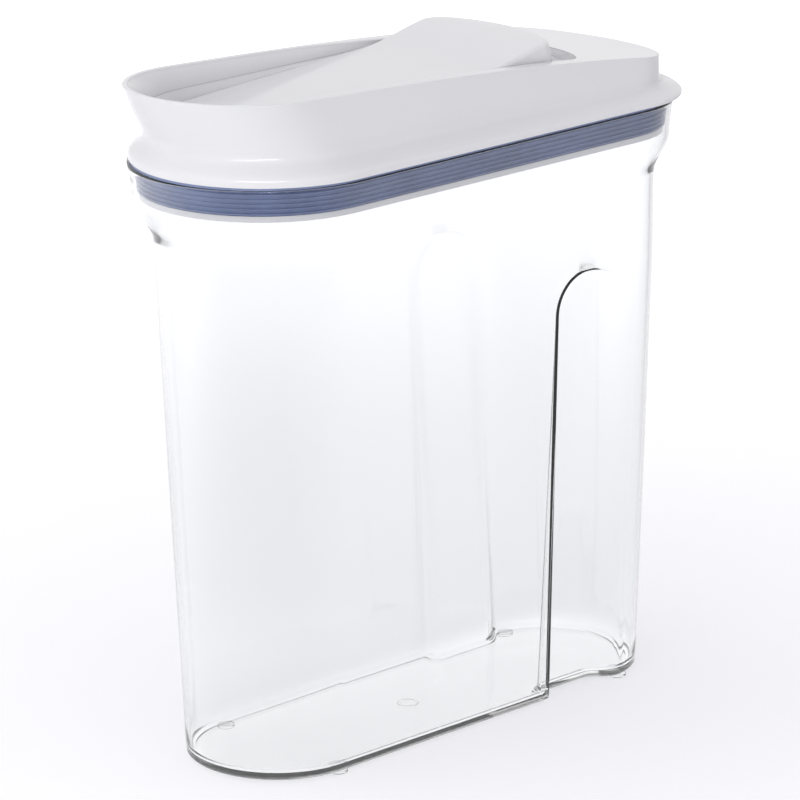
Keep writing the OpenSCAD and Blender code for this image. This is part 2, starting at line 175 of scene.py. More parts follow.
class CapSettings(bpy.types.PropertyGroup):
    """Sizes and finish of the flip cap."""

    front_height: length("Front height", "Height of the cap's front edge", 265.9)
    slope: share("Slope", "Rise of the ramp over its length", 0.0595)
    hump: length("Hump", "Extra height of the hump", 4.9)
    hump_start: length("Hump start", "Place where the hump starts to rise", 11.8)
    hump_full: length("Hump full", "Place where the hump is at its full height", 52.2)
    half_width: length("Half width", "Half width of the cap", 35.5)
    hump_rear: length("Hump rear", "Reach of the hump's top behind the origin", 59.4)
    hump_round: length("Hump rounding", "Depth of the hump's rounded rear edge", 14.0)
    crown: length("Crown", "Radius of the hump's upper edges", 1.6)
    crown_front: length("Front crown", "Radius of the cap's upper edges at the front", 0.35)


class StageSettings(bpy.types.PropertyGroup):
    """Floor, lamps and camera."""

    floor_shade: colour("Floor", "Colour of the floor", (0.86, 0.86, 0.87))
    near_lift: share("Near lift", "Light that the floor adds near the object", 0.29)
    far_lift: share("Far lift", "Light that the floor adds far from the object", 0.55)
    under_lift: share("Light below", "Extra light that clear plastic shows below the object", 0.24)
    front_level: share("Front level", "Level of the floor in front of the object in gloss", 0.02)
    right_level: share("Right level", "Level of the floor on the right in gloss", 0.62)
    far_level: share("Far level", "Level of the floor behind the object in clear plastic", 0.93)
    room_level: share("Room level", "Level of the room in front of the object in gloss", 0.3)
    overhead_level: share("Overhead level", "Level of the room overhead in gloss", 0.35)
    through_level: share("Through level", "Least level of what shows straight through the vessel", 0.86)
    key_power: light("Key lamp", "Power of the large lamp", 8.5)
    fill_power: light("Fill lamp", "Power of the low lamp", 12.0)
    strip_power: light("Strip lamp", "Power of the strip that glossy edges mirror", 5.0)
    world_level: light("Room light", "Level of the room's light", 0.64)


# Outlines and lofts


def ease(low, high, value):
    """A smooth step from 0 at low to 1 at high."""
    u = np.clip((np.asarray(value, float) - low) / (high - low), 0.0, 1.0)
    return u * u * (3.0 - 2.0 * u)


def mix(a, b, t):
    return a + (b - a) * t


def nose_arc(width, front, depth):
    """The rounded front end of a half outline, from its front point to its side."""
    a = np.linspace(0.0, math.pi / 2, END_POINTS + 1)
    return np.column_stack([width * np.sin(a), depth * (1.0 - np.cos(a)) - front])


def tail_arc(width, rear, depth, start=0.0, points=END_POINTS + 1):
    """The rounded rear end of a half outline, without its first point, from an angle on."""
    a = np.linspace(start, math.pi / 2, points)[1:]
    return np.column_stack([width * np.cos(a), rear - depth * (1.0 - np.sin(a))])


def half_plan(width, front, rear, front_depth, rear_depth):
    """Half of a plan outline, from its front point along +X to its rear point."""
    side = np.linspace(front_depth - front, rear - rear_depth, SIDE_POINTS + 1)[1:]
    flank = np.column_stack([np.full(len(side), width), side])
    return np.vstack([nose_arc(width, front, front_depth), flank, tail_arc(width, rear, rear_depth)])


def at_height(half, z):
    """The half outline with a height, one number or one for each point."""
    return np.column_stack([half, np.broadcast_to(z, len(half))])


def whole(half):
    """The closed ring of a half outline and its mirror image."""
    mirrored = half[-2:0:-1] * np.array([-1.0, 1.0, 1.0])
    return np.vstack([half, mirrored])


def across(count, base):
    """Faces that cross a ring from each point to its mirror image."""
    n = 2 * count - 2
    faces = [(base, base + 1, base + n - 1)]
    for i in range(1, count - 2):
        faces.append((base + i, base + i + 1, base + n - i - 1, base + n - i))
    i = count - 2
    faces.append((base + i, base + i + 1, base + n - i))
    return faces


def loft(name, halves, closed=False):
    """A solid through half rings, mirrored in the middle plane, with its faces pointing out."""
    count = len(halves[0])
    n = 2 * count - 2
    points = np.vstack([whole(h) for h in halves])
    faces = []
    for k in range(len(halves) - (0 if closed else 1)):
        low, high = k * n, (k + 1) % len(halves) * n
        faces += [(low + i, low + (i + 1) % n, high + (i + 1) % n, high + i) for i in range(n)]
    if not closed:
        faces += across(count, 0)
        faces += across(count, (len(halves) - 1) * n)
    mesh = bpy.data.meshes.new(name)
    mesh.from_pydata(points.tolist(), [], faces)
    tidy(mesh)
    return mesh


def tidy(mesh):
    """Merges doubles and points every face outwards."""
    bm = bmesh.new()
    bm.from_mesh(mesh)
    bmesh.ops.remove_doubles(bm, verts=bm.verts, dist=1e-7)
    bmesh.ops.recalc_face_normals(bm, faces=bm.faces)
    if bm.calc_volume(signed=True) < 0:
        bmesh.ops.reverse_faces(bm, faces=bm.faces)
    bm.to_mesh(mesh)
    bm.free()


def add_object(name, mesh):
    found = bpy.data.objects.new(name, mesh)
    bpy.context.scene.collection.objects.link(found)
    return found


def add_smooth(name, mesh, degrees):
    """Adds a mesh that is smooth up to an angle between its faces."""
    mesh.shade_smooth()
    mesh.set_sharp_from_angle(angle=math.radians(degrees))
    return add_object(name, mesh)


def spline(rows, steps):
    """Rows of numbers, with a smooth curve of some steps between each two rows."""
    rows = np.asarray(rows, float)
    ends = np.vstack([2 * rows[0] - rows[1], rows, 2 * rows[-1] - rows[-2]])
    out = []
    for k in range(1, len(ends) - 2):
        a, b, c, d = ends[k - 1], ends[k], ends[k + 1], ends[k + 2]
        for t in np.arange(steps) / steps:
            out.append(
                0.5 * (2 * b + (c - a) * t + (2 * a - 5 * b + 4 * c - d) * t * t
                       + (3 * b - a - 3 * c + d) * t ** 3)
            )
    out.append(rows[-1])
    return np.array(out)


# Shader maths


class Value:
    """A number socket that takes part in Python sums by adding Math nodes."""

    def __init__(self, graph, socket):
        self.graph = graph
        self.socket = socket

    def _math(self, operation, *operands):
        values = {i: v for i, v in enumerate(operands)}
        node = self.graph.add("ShaderNodeMath", {"operation": operation}, values)
        return Value(self.graph, node.outputs[0])

    def __add__(self, other):
        return self._math("ADD", self, other)

    __radd__ = __add__

    def __sub__(self, other):
        return self._math("SUBTRACT", self, other)

    def __rsub__(self, other):
        return self._math("SUBTRACT", other, self)

    def __mul__(self, other):
        return self._math("MULTIPLY", self, other)

    __rmul__ = __mul__

    def greatest(self, other):
        return self._math("MAXIMUM", self, other)

    def ramp(self, low, high, start, end):
        """A smooth change from start to end as the value goes from low to high."""
        node = self.graph.add(
            "ShaderNodeMapRange", {"interpolation_type": "SMOOTHSTEP"},
            {"Value": self, "From Min": low, "From Max": high, "To Min": start, "To Max": end},
        )
        return Value(self.graph, node.outputs["Result"])


class Graph:
    """A node tree that is filled by short calls."""

    def __init__(self, tree):
        self.tree = tree
        tree.nodes.clear()

    def add(self, kind, settings=None, values=None):
        """A node with its settings, and then with values or links on its sockets."""
        node = self.tree.nodes.new(kind)
        for key, value in (settings or {}).items():
            setattr(node, key, value)
        for key, value in (values or {}).items():
            socket = node.inputs[key]
            if isinstance(value, Value):
                value = value.socket
            if isinstance(value, bpy.types.NodeSocket):
                self.tree.links.new(value, socket)
            else:
                socket.default_value = value
        return node

    def value(self, node, output=0):
        return Value(self, node.outputs[output])

    def noise(self, scale, detail=2.0, roughness=0.5):
        """Noise on Object coordinates."""
        place = self.add("ShaderNodeTexCoord").outputs["Object"]
        node = self.add(
            "ShaderNodeTexNoise", None,
            {"Vector": place, "Scale": scale, "Detail": detail, "Roughness": roughness},
        )
        return self.value(node, "Fac")

    def blend(self, factor, a, b):
        """A colour between two colours."""
        node = self.add(
            "ShaderNodeMix", {"data_type": "RGBA"}, {0: factor, 6: a, 7: b}
        )
        return node.outputs[2]

    def bump(self, height, strength, distance):
        node = self.add(
            "ShaderNodeBump", None,
            {"Height": height, "Strength": strength, "Distance": distance},
        )
        return node.outputs["Normal"]

    def output(self, surface):
        self.add("ShaderNodeOutputMaterial", None, {"Surface": surface})


# Finishes


def rgba(shade, level=1.0):
    return (shade[0] * level, shade[1] * level, shade[2] * level, 1.0)


def new_material(name):
    material = bpy.data.materials.new(name)
    material.use_nodes = True
    return material, Graph(material.node_tree)


def white_plastic(name, shade, gloss=0.12):
    """Glossy moulded plastic, a little uneven in tone and gloss."""
    material, g = new_material(name)
    cloud = g.noise(14.0, 2.0)
    ripple = g.noise(40.0, 1.0)
    base = g.blend(cloud.ramp(0.3, 0.7, 0.0, 1.0), rgba(shade, 0.993), rgba(shade, 1.007))
    shader = g.add("ShaderNodeBsdfPrincipled", None, {
        "Base Color": base,
        "Roughness": cloud.ramp(0.3, 0.7, gloss - 0.02, gloss + 0.02),
        "IOR": 1.5,
        "Normal": g.bump(ripple, 0.06, 0.0002),
    })
    g.output(shader.outputs[0])
    return material


def silicone(name, shade):
    """Matte silicone with a fine bloom."""
    material, g = new_material(name)
    bloom = g.noise(60.0, 4.0, 0.6)
    grain = g.noise(3200.0, 2.0)
    base = g.blend(bloom.ramp(0.3, 0.7, 0.0, 1.0), rgba(shade, 0.92), rgba(shade, 1.1))
    shader = g.add("ShaderNodeBsdfPrincipled", None, {
        "Base Color": base,
        "Roughness": bloom.ramp(0.3, 0.7, 0.3, 0.4),
        "IOR": 1.41,
        "Normal": g.bump(grain, 0.08, 0.00003),
    })
    g.output(shader.outputs[0])
    return material


def ground_steel(name):
    """Ground steel rod, with fine rings round it."""
    material, g = new_material(name)
    place = g.add("ShaderNodeTexCoord").outputs["Object"]
    rings = g.add("ShaderNodeMapping", None, {"Vector": place, "Scale": (6000.0, 120.0, 120.0)})
    streak = g.value(g.add("ShaderNodeTexNoise", None, {"Vector": rings.outputs[0], "Scale": 1.0}), "Fac")
    shader = g.add("ShaderNodeBsdfPrincipled", None, {
        "Base Color": g.blend(streak, (0.55, 0.55, 0.56, 1.0), (0.66, 0.66, 0.67, 1.0)),
        "Metallic": 1.0,
        "Roughness": streak.ramp(0.3, 0.7, 0.22, 0.36),
    })
    g.output(shader.outputs[0])
    return material


def satin_band(g, s):
    """1 on the satin band along the vessel's lower edge, and 0 elsewhere."""
    above_edge, rise, fall = 0.9 * MM, 0.4 * MM, 1.0 * MM
    place = g.add("ShaderNodeTexCoord").outputs["Object"]
    height = g.value(g.add("ShaderNodeSeparateXYZ", None, {0: place}), 2)
    low = s.foot_height + above_edge
    return height.ramp(s.satin_top - fall, s.satin_top, 1.0, 0.0) * height.ramp(low, low + rise, 0.0, 1.0)


def clear_plastic(name, s):
    """Crystal-clear moulded plastic, satin along its lower edge.

    Light for shadows passes straight through it.
    """
    material, g = new_material(name)
    flow = g.noise(9.0, 2.0)
    satin = satin_band(g, s)
    shader = g.add("ShaderNodeBsdfPrincipled", None, {
        "Base Color": rgba(s.tint),
        "Roughness": satin * s.satin_gloss,
        "IOR": 1.53,
        "Transmission Weight": 1.0,
        "Normal": g.bump(flow, 0.04, 0.0004),
    })
    through = g.add("ShaderNodeBsdfTransparent", None, {"Color": rgba(s.shadow_tint)})
    path = g.add("ShaderNodeLightPath")
    unbent = g.value(path, "Is Shadow Ray").greatest(g.value(path, "Is Diffuse Ray"))
    both = g.add("ShaderNodeMixShader", None, {
        0: unbent.greatest(satin * s.satin_clear), 1: shader.outputs[0], 2: through.outputs[0],
    })
    g.output(both.outputs[0])
    return material


def coat_node(node, material):
    """Gives a CAD node one material."""
    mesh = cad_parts[node].data
    mesh.materials.clear()
    mesh.materials.append(material)


def finish_piece(piece, material, body, slot, *nodes):
    """Coats a new piece, seats it on its body and hides the CAD nodes that it takes the place of."""
    piece.data.materials.clear()
    piece.data.materials.append(material)
    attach(piece, body)
    if nodes:
        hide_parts(*nodes)
    return piece


# Forms of the vessel

# Shares of the collar's reach: its swell from the neck, its upright part and its flare to the rim
NECK_SHARE, UPRIGHT_SHARE, FLARE_SHARE = 0.82, 0.06, 0.12
UPRIGHT_TOP = 243 * MM
FLARE_START = 241 * MM

# Points round each arc of the recess's step, along the side in front of it, and behind it
STEP_POINTS = 11
FLANK_POINTS = 10
REST_POINTS = 25

# Least radius in the wall's inner corner, and least depth of the step
LEAST_CORNER = 0.3 * MM
LEAST_STEP = 0.05 * MM

# Share of the arch's radius up to which its columns follow it, and how far apart they may spread
ARCH_LIMIT = 0.975
MOST_SPREAD = 3.0

# Length past the start of the rear end over which the recess has merged into it
MERGE_LENGTH = 3.0 * MM

# Heights, in millimetres, of the plain wall's rings below the arch and above it
LOW_RINGS = (8, 14, 30, 60, 90, 120, 145, 160)
HIGH_RINGS = (190, 200, 208, 214)

# Points round a foot and round the gate mark
FOOT_STEPS = 48
GATE_STEPS = 64


def collar_share(s, z):
    """Share of the collar's reach at a height."""
    return (NECK_SHARE * ease(s.neck, s.collar, z) + UPRIGHT_SHARE * ease(s.collar, UPRIGHT_TOP, z)
            + FLARE_SHARE * ease(FLARE_START, s.rim_top, z))


def step_profile(s, depth, inset):
    """The step of a grip recess: places across its face, and how far each lies below the plain wall.

    An arc round its outer edge, a straight face and an arc at its foot follow each other. The
    foot's arc keeps its centre through the wall, and a small radius stays in the wall's inner corner.
    """
    foot_z = depth - s.grip_root

    def turn_and_run(edge, root, edge_z):
        """Angle that the two arcs turn through, and the distance across from one centre to the other."""
        reach = edge + root
        turn = min(s.grip_draft, math.acos(np.clip((edge_z - foot_z) / reach, -1.0, 1.0)))
        face = foot_z - edge_z + reach * math.cos(turn)
        return turn, reach * math.sin(turn) + face / math.tan(s.grip_draft)

    outer_turn, foot = turn_and_run(s.grip_edge, s.grip_root, s.grip_edge)
    edge = max(s.grip_edge - inset, LEAST_CORNER)
    root = s.grip_root + inset
    turn, run = turn_and_run(edge, root, inset + edge)
    a = np.linspace(0.0, turn, STEP_POINTS)
    upper = np.column_stack([foot - run + edge * np.sin(a), inset + edge * (1 - np.cos(a))])
    a = a[::-1]
    lower = np.column_stack([foot - root * np.sin(a), foot_z + root * np.cos(a)])
    profile = np.vstack([upper, lower])
    return profile[:, 0] - s.grip_edge * math.sin(outer_turn), profile[:, 1]


def step_columns(s, z, across_face):
    """Places of the step's columns, which follow its arch and spread out where the arch lies flat."""
    centre_y, centre_z = s.grip_front + s.grip_arch, s.grip_top - s.grip_arch
    rise = min(max(z - centre_z, 0.0), ARCH_LIMIT * s.grip_arch)
    level_out = math.sqrt(s.grip_arch ** 2 - rise ** 2)
    return centre_y - level_out + across_face * min(MOST_SPREAD, s.grip_arch / level_out)


def recess_reach(s, y, z):
    """How far places on the side wall lie inside the outline of the recess."""
    centre_y, centre_z = s.grip_front + s.grip_arch, s.grip_top - s.grip_arch
    corner = s.grip_arch - np.hypot(y - centre_y, max(z - centre_z, 0))
    fall = np.maximum(y - centre_y, 0) / s.grip_droop
    below_arch = (s.grip_top - s.grip_droop * fall ** 2 / 2 - z) / np.hypot(1, fall)
    straight = np.minimum(y - s.grip_front, below_arch)
    return np.where((y < centre_y) & (z > centre_z), corner, straight)


def vessel_half(s, z, inset):
    """Half outline of the vessel at a height, set in from its outer surface."""
    up = z - s.foot_height
    lean = s.wall_lean / (s.rim_top - s.foot_height)
    swell = float(collar_share(s, z))
    full = s.base_half_width + lean * up + s.collar_side * swell
    width = full - inset
    front = s.base_front + lean * up + s.collar_front * swell - inset
    rear = s.base_rear + lean * (min(z, s.rear_upright) - s.foot_height) + s.collar_rear * swell - inset
    front_depth, rear_depth = s.front_round * width, s.rear_round * width
    end = rear - rear_depth
    merge = end + MERGE_LENGTH

    up_share = min(1.0, up / (s.grip_top - s.foot_height))
    depth = max(LEAST_STEP, full - mix(s.grip_low, s.grip_high, up_share))
    across_face, below = step_profile(s, depth, inset)
    step = step_columns(s, z, across_face)
    flank = np.linspace(front_depth - front, step[0], FLANK_POINTS)[1:-1]
    rest = np.linspace(step[-1], merge, REST_POINTS)[1:]
    y = np.concatenate([flank, step, rest])
    plain = width * np.sqrt(1 - np.clip((y - end) / rear_depth, 0, 1) ** 2)
    drop = np.interp(recess_reach(s, y, z), across_face, below) - inset
    flare = mix(s.grip_rear, s.grip_rear_top, up_share ** 3)
    side = np.column_stack([plain - drop * (1 - ease(flare, merge, y)), y])

    tail = tail_arc(width, rear, rear_depth, math.asin(MERGE_LENGTH / rear_depth), END_POINTS)
    return np.vstack([nose_arc(width, front, front_depth), side, tail])


def bore_half(s, z, inset):
    """Half outline of the collar's bore at a height, set in from it."""
    h = vessel_half(s, z, s.wall + inset)
    width = h[END_POINTS][0]
    return half_plan(width, -h[0][1], h[-1][1], s.front_round * width, s.rear_round * width)


def vessel_mesh(s):
    """The clear vessel: walls, collar, grip recesses and floor."""
    base_r, rim_r, fillet = 2.2 * MM, 0.95 * MM, 3.0 * MM
    flat_in, above_root = 0.6 * MM, 1.5 * MM
    floor_z = s.foot_height + s.floor
    crest_low = s.grip_top - s.grip_root - above_root
    walls = [z * MM for z in LOW_RINGS]
    walls += list(np.linspace(s.grip_top - s.grip_arch, crest_low, 12))
    walls += list(np.linspace(crest_low, s.grip_top + s.grip_edge, 36)[1:])
    walls += [z * MM for z in HIGH_RINGS]
    neck = list(np.linspace(s.neck, s.rim_top - rim_r, 32))

    # Heights of the rings, each with its distance in from the outer surface
    a = np.linspace(0.0, math.pi / 2, 9)
    outer = [(s.foot_height + base_r * (1 - math.cos(t)), base_r * (1 - math.sin(t))) for t in a]
    outer += [(z, 0.0) for z in walls + neck]
    rim = [(s.rim_top - rim_r * (1 - math.sin(t)), rim_r * (1 - math.cos(t))) for t in a[1:]]
    rim += [(s.rim_top - rim_r * (1 - math.cos(t)), s.wall - rim_r * (1 - math.sin(t))) for t in a]
    inner = [(z, s.wall) for z in (walls[1:] + neck[:-1])[::-1]]
    inner += [(floor_z + fillet * (1 - math.sin(t)), s.wall + fillet * (1 - math.cos(t))) for t in a]
    first = [(s.foot_height, base_r + flat_in)]
    last = [(floor_z, s.wall + fillet + flat_in)]
    rows = first + outer + rim + inner + last
    return loft("vessel", [at_height(vessel_half(s, z, i), z) for z, i in rows])


def revolve(bm, centre, profile, steps, closed=False):
    """Turns rows of radius and height round an upright axis, and caps them or joins last to first."""
    x, y = centre
    turns = np.linspace(0, 2 * math.pi, steps, endpoint=False)
    rings = []
    for r, z in profile:
        rings.append([bm.verts.new((x + r * math.cos(t), y + r * math.sin(t), z)) for t in turns])
    for a, b in zip(rings, rings[1:] + rings[:1] if closed else rings[1:]):
        for i in range(steps):
            bm.faces.new((a[i], a[(i + 1) % steps], b[(i + 1) % steps], b[i]))
    if not closed:
        bm.faces.new(rings[0][::-1])
        bm.faces.new(rings[-1])


def mesh_from(bm, name):
    mesh = bpy.data.meshes.new(name)
    bm.to_mesh(mesh)
    bm.free()
    tidy(mesh)
    return mesh


def feet_mesh(s):
    """Four round feet with upright walls and a rounded lower edge, just clear of the base."""
    edge, seam = 0.35 * MM, 0.01 * MM
    profile = [
        (s.foot_radius - edge, 0.0), (s.foot_radius - 0.3 * edge, 0.3 * edge),
        (s.foot_radius, edge), (s.foot_radius, s.foot_height - seam),
    ]
    bm = bmesh.new()
    for side in (-s.foot_side, s.foot_side):
        for y in (-s.foot_front, s.foot_rear):
            revolve(bm, (side, y), profile, FOOT_STEPS)
    return mesh_from(bm, "vessel_feet")


def gate_mark_mesh(s):
    """The low round ring that moulding leaves below the floor."""
    centre_y, radius, seam = -1.0 * MM, 0.5 * MM, 0.03 * MM
    profile = []
    for a in np.linspace(0, 2 * math.pi, 12, endpoint=False):
        down = seam + radius * (1 + math.sin(a)) / 2
        profile.append((s.gate_radius + radius * math.cos(a), s.foot_height - down))
    bm = bmesh.new()
    revolve(bm, (0.0, centre_y), profile, GATE_STEPS, closed=True)
    return mesh_from(bm, "gate_mark")


# Forms of the lid

# The lid's upper edge: its height at the origin in millimetres, and then its slope, bend and twist
# over each span towards the rear
EDGE_CURVE = (276.9, -6.67, -2.21, -0.75)
EDGE_SPAN = 100 * MM

# The waist's place behind the skirt at the front and rear, and the depth of the upper edge's
# rounded ends over its half width
WAIST_FRONT_IN, WAIST_REAR_IN = 4.6 * MM, 8.8 * MM
LIP_ROUND, DECK_ROUND = 1.09, 0.76

# Where the hollow under the deck starts and is at its full height, and where the ledge in the
# trough starts to fall and is as low as the well
HOLLOW_START, HOLLOW_FULL = -101 * MM, -83 * MM
LEDGE_FALLS, LEDGE_LOW = 13 * MM, 59 * MM

# The trough's upper edge: depth of its rounded front, width of the lip round it, where its front
# ends, and where it starts to draw in and lies close beside the cap
TROUGH_NOSE, LIP_WIDTH, NOSE_END = 42 * MM, 2.2 * MM, -57 * MM
DRAWS_IN, CLOSE_TO_CAP = -37 * MM, 53 * MM

# Depths of the rounded rear ends of the trough's edge, its ledge, its seat and its foot
EDGE_REAR, LEDGE_REAR, SEAT_REAR, FOOT_REAR = 17.4 * MM, 16.8 * MM, 14 * MM, 15 * MM

# How far the well's rear wall stands behind the trough's, and the trough's edge outside its wall
WELL_STEP = 6 * MM
BESIDE_CAP = 0.3 * MM

# Outer profile of the lid: height share, share of the way in to the waist, share of the way out
LID_PROFILE = [
    (0.0, 0.03, 0), (0.02, 0, 0), (0.07, 0, 0), (0.11, 0.08, 0), (0.15, 0.27, 0), (0.2, 0.56, 0),
    (0.25, 0.8, 0), (0.31, 0.94, 0), (0.39, 1, 0.02), (0.5, 1, 0.2), (0.62, 1, 0.42),
    (0.74, 1, 0.62), (0.86, 1, 0.8), (0.95, 1, 0.93), (0.985, 1, 0.98),
]

# Steps between two rows of the profile, and its row along the lip
PROFILE_STEPS = 4
LIP_ROW = (1.0, 1.0, 1.0)

# Rows of the same kind for the inner side: in front of the hollow, inside the skirt and at its foot
FRONT_REST_ROW = (0.2, 0.95, 0)
SKIRT_ROW = (0.07, 0.06, 0)
FOOT_ROW = (0.0, 0.0, 0)

# The inner wall: rows of the same kind, each with how far its rear stands in, in millimetres
INNER_PROFILE = [(0.86, 1, 0.8, 0), (0.62, 1, 0.42, 0), (0.38, 1, 0, 0.5), (0.2, 0.6, 0, 3)]


def edge_height(y):
    """Height of the lid's upper edge and deck."""
    u = np.asarray(y, float) / EDGE_SPAN
    return sum(c * u ** k for k, c in enumerate(EDGE_CURVE)) * MM


def lid_half(s, row, inset, rear_in=0.0):
    """Half outline of the lid's outer surface for a row of its profile."""
    _, inward, outward = row
    width = mix(mix(s.skirt_half_width, s.waist_half_width, inward), s.top_half_width, outward) - inset
    front = mix(s.skirt_front - WAIST_FRONT_IN * inward, s.lip_front, outward) - inset
    rear = mix(s.skirt_rear - WAIST_REAR_IN * inward, s.deck_rear, outward) - inset - rear_in
    front_round = mix(bpy.context.scene.container_vessel.front_round, LIP_ROUND, outward)
    rear_round = mix(s.skirt_rear_round, DECK_ROUND, outward)
    return half_plan(width, front, rear, front_round * width, rear_round * width)


def lid_height(s, share_up, y):
    return mix(s.lower_edge, edge_height(y), share_up)


def hollow(y):
    """Share of the full height of the hollow under the deck."""
    return ease(HOLLOW_START, HOLLOW_FULL, y)


def ledge_height(s, y):
    """Height of the ledge, which falls to the floor of the well at the rear."""
    well = float(edge_height(s.well_rear)) - s.well_depth
    return mix(s.ledge, well, ease(LEDGE_FALLS, LEDGE_LOW, y))


def cap_height(c, lid, y):
    """Height of the cap's upper surface."""
    return (c.front_height + c.slope * (np.minimum(y, c.hump_full) + lid.trough_front)
            + c.hump * ease(c.hump_start, c.hump_full, y))


def edge_ring(half, below=0.0):
    """A half outline along the lid's upper edge, or below it."""
    return at_height(half, edge_height(half[:, 1]) - below)


def trough_edge(s, inset):
    """Half outline of the trough at its upper edge, drawn in beside the well."""
    wide = s.trough_half_width + BESIDE_CAP
    half = half_plan(wide, s.lip_front - LIP_WIDTH, s.well_rear, TROUGH_NOSE, EDGE_REAR)
    top = mix(s.trough_top, wide, ease(DRAWS_IN, CLOSE_TO_CAP, half[:, 1]))
    half[:, 0] *= (top - inset) / wide
    half[:, 1] += np.where(half[:, 1] < NOSE_END, inset, 0.0)
    return half


def ledge_plan(s, out, rear_out):
    """Half outline of the ledge round the cap, moved out at the front and sides, and at the rear."""
    front_width, rear_in = 2.4 * MM, 0.8 * MM
    return half_plan(
        s.ledge_half_width + out, s.trough_front + front_width + out, s.well_rear - rear_in + rear_out,
        s.ledge_half_width, LEDGE_REAR,
    )


def lid_outside(s):
    """Rings up the outside of the lid, from the skirt over the waist to the top of the lip."""
    lip_r, flat = 0.55 * MM, 0.3 * MM
    rings = []
    for row in np.clip(spline(LID_PROFILE, PROFILE_STEPS), 0.0, 1.0):
        half = lid_half(s, row, 0.0)
        rings.append(at_height(half, lid_height(s, row[0], half[:, 1])))
    for a in np.linspace(0.2, math.pi / 2, 6):
        half = lid_half(s, LIP_ROW, lip_r * (1 - math.cos(a)))
        rings.append(edge_ring(half, lip_r * (1 - math.sin(a))))
    rings.append(edge_ring(lid_half(s, LIP_ROW, lip_r + flat)))
    return rings


def trough_inside(s, c):
    """Rings over the trough's edge, down its wall and across its ledge to the floor beside the cap."""
    edge_r, outer_share, flat = 0.6 * MM, 0.35, 0.45 * MM
    groove_rise, groove_depth, groove_out, groove_rear = 0.2 * MM, 0.25 * MM, 0.35 * MM, 0.2 * MM
    cap_low, drop = 0.05 * MM, 0.5 * MM
    rings = [edge_ring(trough_edge(s, -flat))]
    for a in np.linspace(0.0, math.pi / 2, 7):
        half = trough_edge(s, edge_r * (math.sin(a) - outer_share))
        rings.append(edge_ring(half, edge_r * (1 - math.cos(a))))
    upper = trough_edge(s, edge_r * (1 - outer_share))
    upper_z = edge_height(upper[:, 1]) - edge_r

    # The wall leans in from the edge, stands upright at its foot, and meets the ledge in a fine groove
    ledge = ledge_plan(s, 0.0, 0.0)
    ledge_z = ledge_height(s, ledge[:, 1])
    for t in np.linspace(0.0, 1.0, 11)[1:]:
        wall_z = mix(upper_z, ledge_z + groove_rise, t)
        rings.append(at_height(mix(upper, ledge, 1 - (1 - t) ** 2), wall_z))
    rings.append(at_height(ledge_plan(s, groove_out, groove_rear), ledge_z))
    seat = half_plan(
        s.trough_half_width, s.trough_front, s.well_rear - WELL_STEP, s.trough_half_width, SEAT_REAR
    )
    y = seat[:, 1]
    beside_ramp = np.minimum(s.ledge - MM, cap_height(c, s, y) - cap_low)
    seat_z = np.where(y > LEDGE_FALLS, ledge_height(s, y), beside_ramp)
    for t in (0.0, 0.06, 0.5, 0.94):
        rings.append(at_height(mix(ledge, seat, t), mix(ledge_z - groove_depth, seat_z, t)))
    rings += [at_height(seat, z) for z in (seat_z, seat_z - drop, s.floor)]
    return rings


def lid_inside(s):
    """Rings of the hidden side: round the trough's foot, up under the deck and down inside the skirt."""
    foot = half_plan(
        s.trough_half_width + s.wall, s.trough_front + MM, s.well_rear - WELL_STEP + s.wall,
        s.trough_half_width + MM, FOOT_REAR,
    )
    y = foot[:, 1]
    roof = np.minimum(ledge_height(s, y) - MM, edge_height(y)) - s.wall
    first_up, step_down = 0.5 * MM, 0.6 * MM
    rings = [at_height(foot, s.floor), at_height(foot, mix(s.floor + first_up, roof, hollow(y)))]

    # In front of the hollow the shell is solid, and these rings follow each other close below it
    front_rest = lid_half(s, FRONT_REST_ROW, s.wall)
    extra_in, extra_down, skirt_rear_in = 0.2 * MM, 1.4 * MM, 5 * MM
    for k, (up, inward, outward, rear_in) in enumerate(INNER_PROFILE):
        half = lid_half(s, (up, inward, outward), s.wall + extra_in, rear_in * MM)
        y = half[:, 1]
        high = edge_height(y) - s.wall - extra_down if k == 0 else lid_height(s, up, y)
        plan = mix(front_rest, half, hollow(y)[:, None])
        low = s.floor + first_up - step_down * k
        rings.append(at_height(plan, mix(low, high, hollow(y))))
    for row in (SKIRT_ROW, FOOT_ROW):
        half = lid_half(s, row, s.wall, skirt_rear_in)
        rings.append(at_height(half, lid_height(s, row[0], half[:, 1])))
    return rings


def lid_shell_mesh(s, c):
    """The lid's shell, from its skirt up to the lip, down the trough and back inside."""
    return loft("lid_shell", lid_outside(s) + trough_inside(s, c) + lid_inside(s), closed=True)


# Forms of the cap

# How far the cap's walls lean out below at the sides, in front and behind, and its gap in front
SIDE_DRAFT, FRONT_DRAFT, REAR_DRAFT = 0.15 * MM, 0.8 * MM, 4.6 * MM
FRONT_GAP = 1.8 * MM

# Where the cap's lower edge starts to rise below the hump, and is at its full height
LOW_EDGE_RISES, LOW_EDGE_HIGH = 33 * MM, 49 * MM
REAR_LOW_HEIGHT = 265.1 * MM

# Where the crown's radius starts to grow from the ramp's to the hump's, and has grown to it
CROWN_GROWS, CROWN_FULL = -30 * MM, 40 * MM


def cap_half(c, lid, out, inset):
    """Half outline of the cap, from its crown, 0, to its lower wall, 1."""
    half = c.half_width + SIDE_DRAFT * out - inset
    front = lid.trough_front - FRONT_GAP + FRONT_DRAFT * out - inset
    return half_plan(half, front, c.hump_rear + REAR_DRAFT * out - inset, half, c.hump_round)


